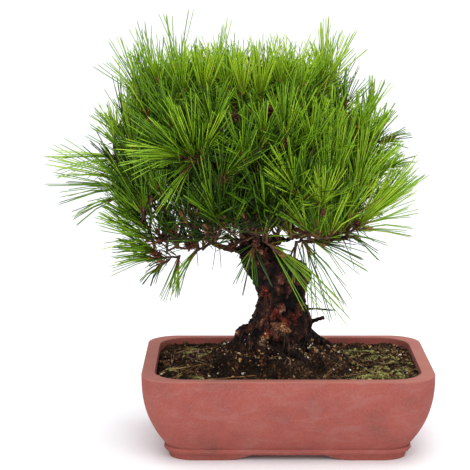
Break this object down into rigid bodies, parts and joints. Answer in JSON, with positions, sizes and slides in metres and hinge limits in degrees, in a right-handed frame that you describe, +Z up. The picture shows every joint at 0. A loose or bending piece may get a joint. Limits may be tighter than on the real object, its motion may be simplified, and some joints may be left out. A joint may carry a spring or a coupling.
{
  "type": "japanese red pine bonsai",
  "caption": "Dwarfed pine in a footed rectangular clay pot: flared, tapering trunk sawn off above, thin leader, boughs and dense masses of long needles.",
  "frame": {"origin": "middle of the plant's own footprint, at the height of the table that the pot stands on", "axes": "+Z up the tree; the front of the tree and the long side of the pot face -Y; +X to the right seen from the front"},
  "size_m": [0.4066, 0.3222, 0.4662],
  "materials": {
    "red_clay": "matt, unglazed",
    "bonsai_soil": "rough, loose",
    "pine_bark": "rough bark",
    "pine_needles": "satin needles"
  },
  "bodies": {
    "root": {"pot": "red_clay", "soil": "bonsai_soil", "trunk": "pine_bark", "bough_top": "pine_bark", "bough_upper_right": "pine_bark", "bough_upper_left": "pine_bark", "bough_front_left": "pine_bark", "bough_front_right": "pine_bark", "bough_left": "pine_bark", "bough_right": "pine_bark", "bough_lower_left": "pine_bark", "bough_lower_right": "pine_bark", "bough_front_low": "pine_bark", "bough_front_left_low": "pine_bark", "bough_back_low": "pine_bark", "bough_back_high": "pine_bark", "bough_back_left": "pine_bark", "bough_back_right": "pine_bark", "foliage_apex": "pine_needles", "foliage_top": "pine_needles", "foliage_upper_right": "pine_needles", "foliage_upper_left": "pine_needles", "foliage_front_left": "pine_needles", "foliage_front_right": "pine_needles", "foliage_left": "pine_needles", "foliage_right": "pine_needles", "foliage_lower_left": "pine_needles", "foliage_lower_right": "pine_needles", "foliage_front_low": "pine_needles", "foliage_front_left_low": "pine_needles", "foliage_back_low": "pine_needles", "foliage_back_high": "pine_needles", "foliage_back_left": "pine_needles", "foliage_back_right": "pine_needles"}
  },
  "joints": []
}
